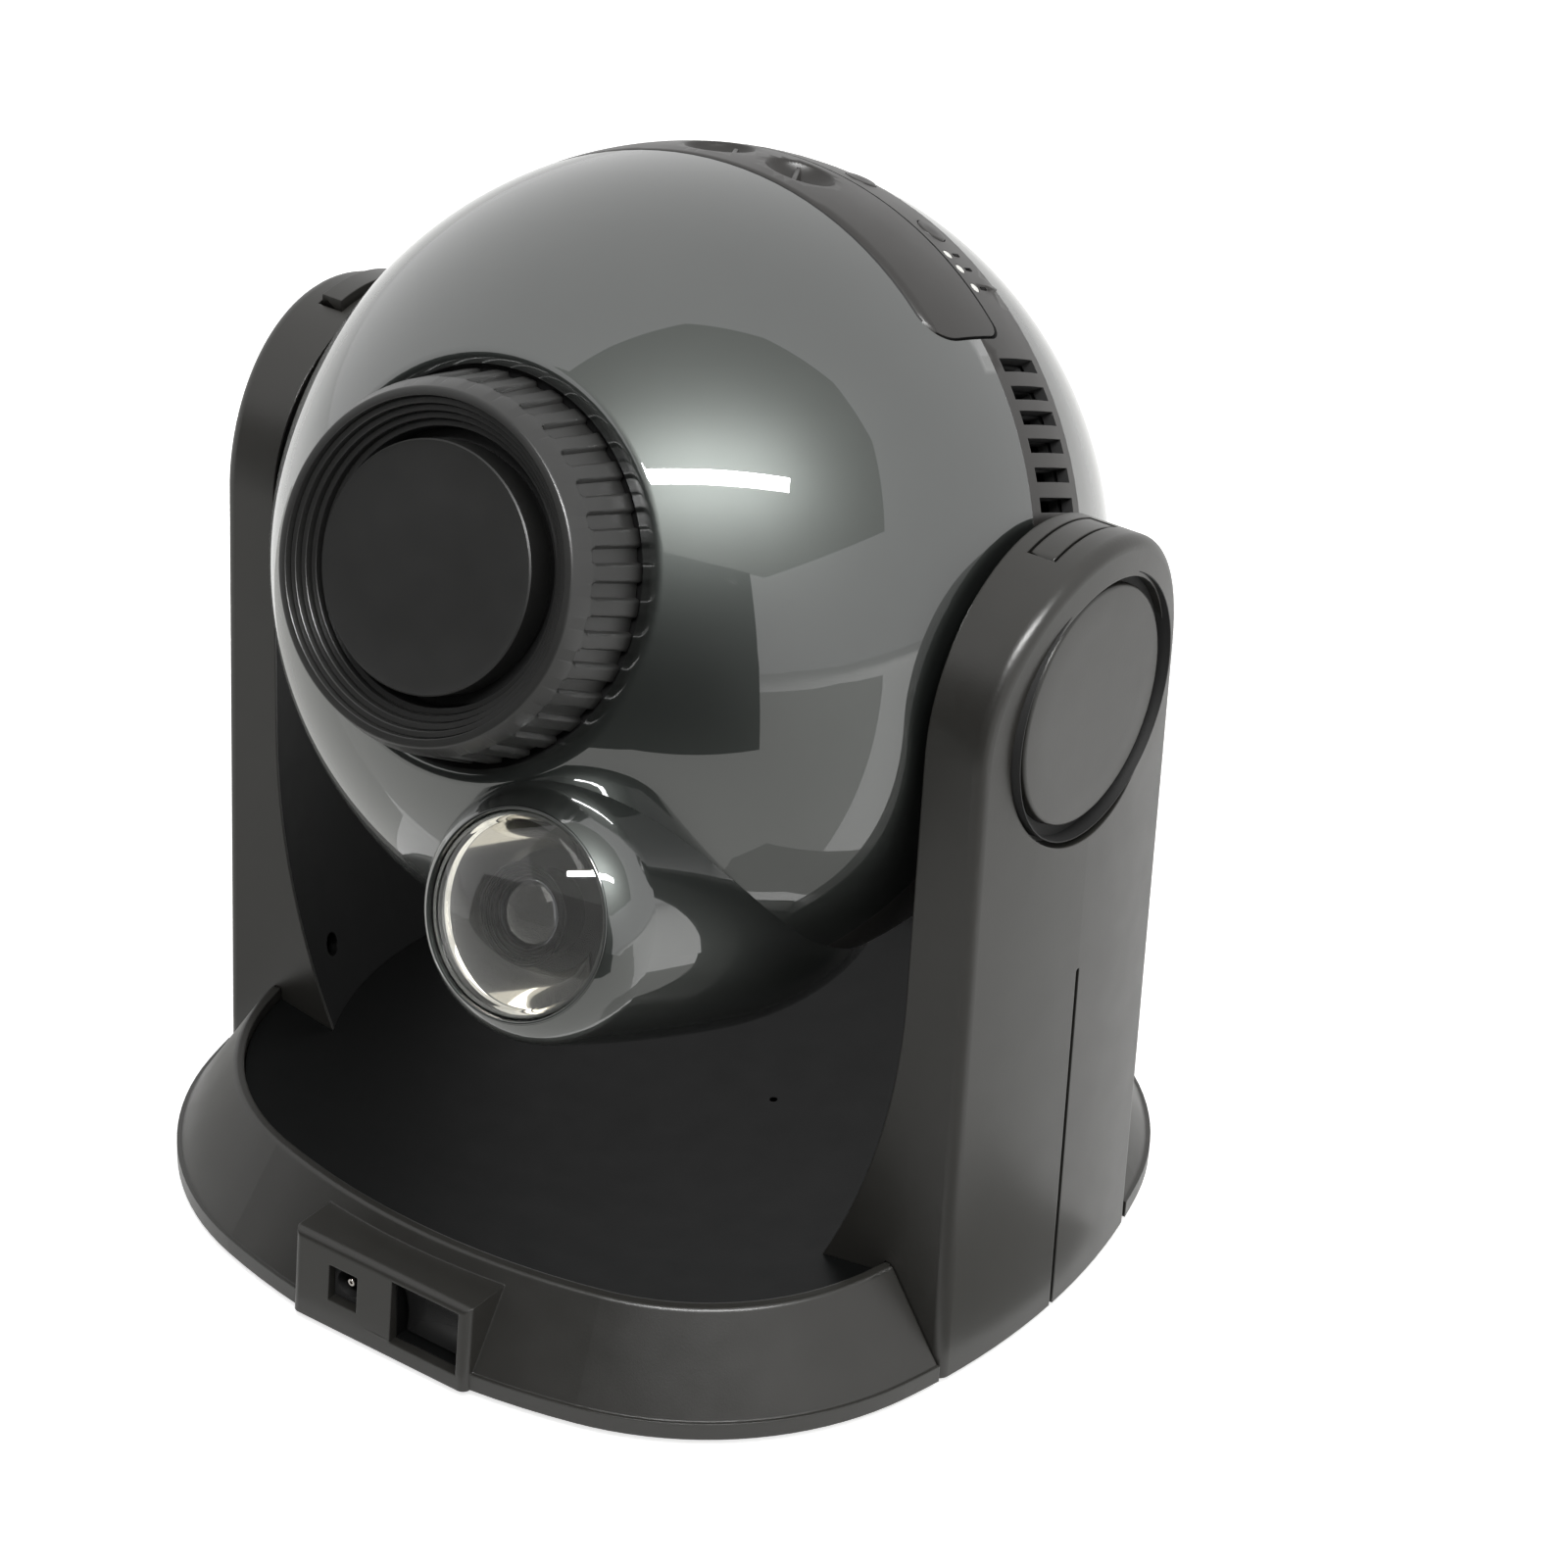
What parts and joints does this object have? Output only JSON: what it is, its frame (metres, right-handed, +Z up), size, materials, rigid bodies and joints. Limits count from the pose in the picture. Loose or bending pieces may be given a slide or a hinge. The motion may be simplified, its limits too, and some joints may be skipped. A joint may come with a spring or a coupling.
{
  "type": "planetarium projector",
  "caption": "Home planetarium projector: glossy ball tilting in a two-armed yoke on a dished base, with focus ring, capped lens, disc tray and side pod with a clear dome.",
  "frame": {"origin": "on the table, under the middle of the base", "axes": "+Z up; the yoke axis runs along X; the lens looks towards -Y and upwards; +X is the side of the clear domed pod"},
  "size_m": [0.2054, 0.2099, 0.235],
  "materials": {
    "grey_plastic": "fine spark texture",
    "black_plastic": "matte black",
    "rocker_plastic": "smooth black",
    "ball_paint": "metallic gunmetal under clear gloss",
    "band_plastic": "satin",
    "rubber": "matte",
    "steel": "plated",
    "acetal": "natural moulded",
    "glass": "polished",
    "clear_plastic": "clear moulded",
    "mirror_ring": "bright plated",
    "circuit_board": "solder mask",
    "aluminium": "extruded",
    "film": "dark film"
  },
  "bodies": {
    "stand": {"base_plate": "black_plastic", "base_shell": "grey_plastic", "base_screws": "steel", "foot_ring": "rubber", "dish": "black_plastic", "power_board": "circuit_board", "dc_jack": "black_plastic", "dc_jack_pin": "steel", "switch_housing": "black_plastic", "right_arm_shell": "grey_plastic", "left_arm_shell": "grey_plastic", "right_arm_liner": "black_plastic", "left_arm_liner": "black_plastic", "right_pivot_cap": "grey_plastic", "left_pivot_cap": "grey_plastic", "right_arm_plug": "grey_plastic", "left_arm_plug": "grey_plastic", "right_bush": "acetal", "left_bush": "acetal"},
    "switch": {"switch_rocker": "rocker_plastic"},
    "head": {"front_shell": "ball_paint", "rear_shell": "ball_paint", "centre_band": "band_plastic", "head_screws": "steel", "right_trunnion": "acetal", "left_trunnion": "acetal", "shaft_clips": "steel", "friction_washers": "steel", "disc_chassis": "black_plastic", "condenser_holder": "black_plastic", "condenser_lens": "glass", "lamp_board": "circuit_board", "heat_sink": "aluminium", "disc_motor": "steel", "lens_mount": "black_plastic", "retaining_ring": "black_plastic", "meteor_pod": "ball_paint", "meteor_window": "clear_plastic", "meteor_bezel": "mirror_ring", "meteor_reflector": "mirror_ring", "meteor_barrel": "black_plastic", "meteor_lens": "glass", "meteor_board": "circuit_board", "control_board": "circuit_board", "status_windows": "clear_plastic"},
    "tray": {"disc_tray": "band_plastic", "tray_lid": "band_plastic"},
    "disc": {"disc_carrier": "acetal", "star_disc": "film", "disc_clip_ring": "acetal"},
    "pinion": {"drive_pinion": "acetal"},
    "focus": {"focus_ring": "black_plastic"},
    "barrel": {"lens_barrel": "black_plastic", "front_lens": "glass", "rear_lens": "glass", "lens_lock_ring": "black_plastic"},
    "cap": {"lens_cap": "black_plastic"},
    "timer_key": {"timer_button": "band_plastic"},
    "meteor_key": {"meteor_button": "band_plastic"}
  },
  "joints": [
    {"name": "tilt", "type": "hinge", "parent": "stand", "child": "head", "pos_m": [0, 0, 0.147], "axis": [-1, 0, 0], "range_deg": [-21, 69]},
    {"name": "power_rocker", "type": "hinge", "parent": "stand", "child": "switch", "pos_m": [0.012, -0.0939, 0.0126], "axis": [-1, 0, 0], "range_deg": [0, 16]},
    {"name": "tray_slide", "type": "slide", "parent": "head", "child": "tray", "axis": [0, 0.3584, 0.9336], "range_m": [0, 0.11]},
    {"name": "disc_spin", "type": "hinge", "parent": "tray", "child": "disc", "pos_m": [0, -0.0147, 0.15264], "axis": [0, -0.9336, 0.3584], "continuous": true},
    {"name": "pinion_spin", "type": "hinge", "parent": "head", "child": "pinion", "pos_m": [0, -0.02772, 0.10826], "axis": [0, -0.9336, 0.3584], "continuous": true},
    {"name": "focus_turn", "type": "hinge", "parent": "head", "child": "focus", "pos_m": [0, -0.07935, 0.17746], "axis": [0, -0.9336, 0.3584], "range_deg": [-75, 75]},
    {"name": "barrel_slide", "type": "slide", "parent": "head", "child": "barrel", "axis": [0, -0.9336, 0.3584], "range_m": [-0.00251, 0.00251]},
    {"name": "cap_off", "type": "slide", "parent": "barrel", "child": "cap", "axis": [0, -0.9336, 0.3584], "range_m": [0, 0.03]},
    {"name": "timer_press", "type": "slide", "parent": "head", "child": "timer_key", "axis": [-0.1616, -0.3537, -0.9213], "range_m": [0, 0.0008], "stiffness_N_per_m": 500, "springref_m": -0.0012},
    {"name": "meteor_press", "type": "slide", "parent": "head", "child": "meteor_key", "axis": [-0.3843, -0.3308, -0.8619], "range_m": [0, 0.0008], "stiffness_N_per_m": 500, "springref_m": -0.0012}
  ],
  "couplings": [
    {"joint": "pinion_spin", "follows": "disc_spin", "ratio": -8.2},
    {"joint": "barrel_slide", "follows": "focus_turn", "m_per_rad": 0.0019099}
  ]
}
